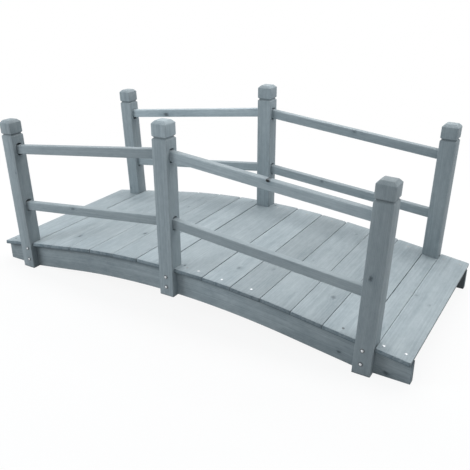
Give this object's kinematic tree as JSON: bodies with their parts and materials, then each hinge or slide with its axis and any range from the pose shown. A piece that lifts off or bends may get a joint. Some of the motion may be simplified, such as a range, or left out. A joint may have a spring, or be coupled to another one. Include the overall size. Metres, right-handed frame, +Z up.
{
  "type": "garden footbridge",
  "caption": "Arched timber garden footbridge with a plank deck on bowed stringers, capped square posts and slim rails along both sides.",
  "frame": {"origin": "on the ground, under the middle of the bridge", "axes": "+X along the bridge, +Y across it to the far side, +Z up"},
  "size_m": [1.5004, 0.67, 0.605],
  "materials": {
    "stringer_wood": "matt grey-blue stain over softwood",
    "post_wood": "matt grey-blue stain over softwood",
    "rail_wood": "matt grey-blue stain over softwood",
    "deck_wood": "matt pale grey-blue stain over softwood"
  },
  "bodies": {
    "root": {"stringer_near": "stringer_wood", "stringer_far": "stringer_wood", "post_near_left": "post_wood", "post_near_mid": "post_wood", "post_near_right": "post_wood", "post_far_left": "post_wood", "post_far_mid": "post_wood", "post_far_right": "post_wood", "rail_near_left_upper": "rail_wood", "rail_near_left_lower": "rail_wood", "rail_near_right_upper": "rail_wood", "rail_near_right_lower": "rail_wood", "rail_far_left_upper": "rail_wood", "rail_far_left_lower": "rail_wood", "rail_far_right_upper": "rail_wood", "rail_far_right_lower": "rail_wood", "deck_board_01": "deck_wood", "deck_board_02": "deck_wood", "deck_board_03": "deck_wood", "deck_board_04": "deck_wood", "deck_board_05": "deck_wood", "deck_board_06": "deck_wood", "deck_board_07": "deck_wood", "deck_board_08": "deck_wood", "deck_board_09": "deck_wood", "deck_board_10": "deck_wood", "deck_board_11": "deck_wood", "deck_board_12": "deck_wood", "deck_board_13": "deck_wood", "deck_board_14": "deck_wood", "deck_board_15": "deck_wood"}
  },
  "joints": []
}
